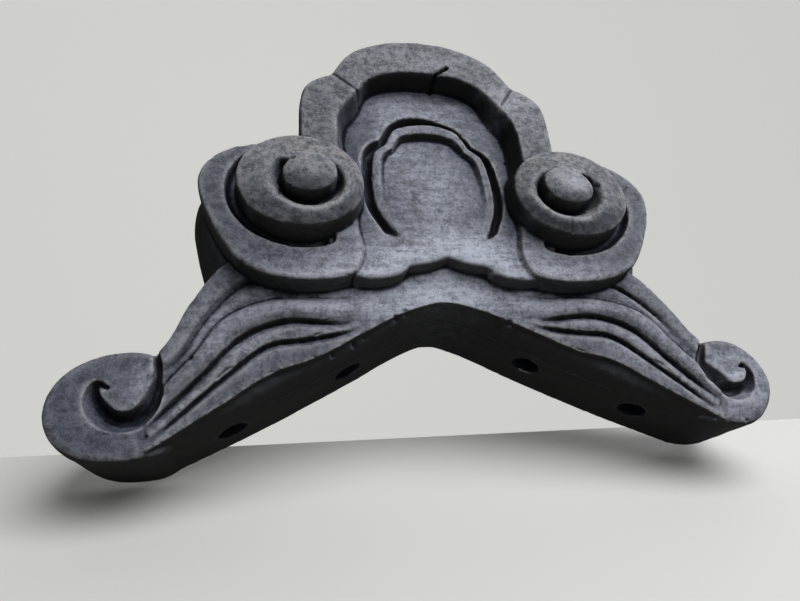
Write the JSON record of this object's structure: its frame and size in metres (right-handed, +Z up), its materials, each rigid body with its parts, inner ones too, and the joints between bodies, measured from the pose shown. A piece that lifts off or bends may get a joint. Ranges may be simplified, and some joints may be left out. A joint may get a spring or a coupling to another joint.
{
  "type": "roof end tile",
  "caption": "Hollow-backed fired clay roof end tile with a lobed crest, sunk niche, scrolled cloud whorls and spreading legs with rolled feet.",
  "frame": {"origin": "on the flat back of the tile, in the middle of the clay wall over the arch, where it is set against the end of the ridge", "axes": "+X to the right seen from the front, -Y the way the carved front looks, +Y square out of the flat back, +Z up"},
  "size_m": [0.43, 0.1045, 0.2879],
  "materials": {
    "smoked_clay": "smoked fired clay, dark blue-grey with a dull silvery sheen, burnished strokes, brownish dust on the high faces and near-black recesses"
  },
  "bodies": {
    "root": {"roof_end_tile": "smoked_clay"}
  },
  "joints": []
}
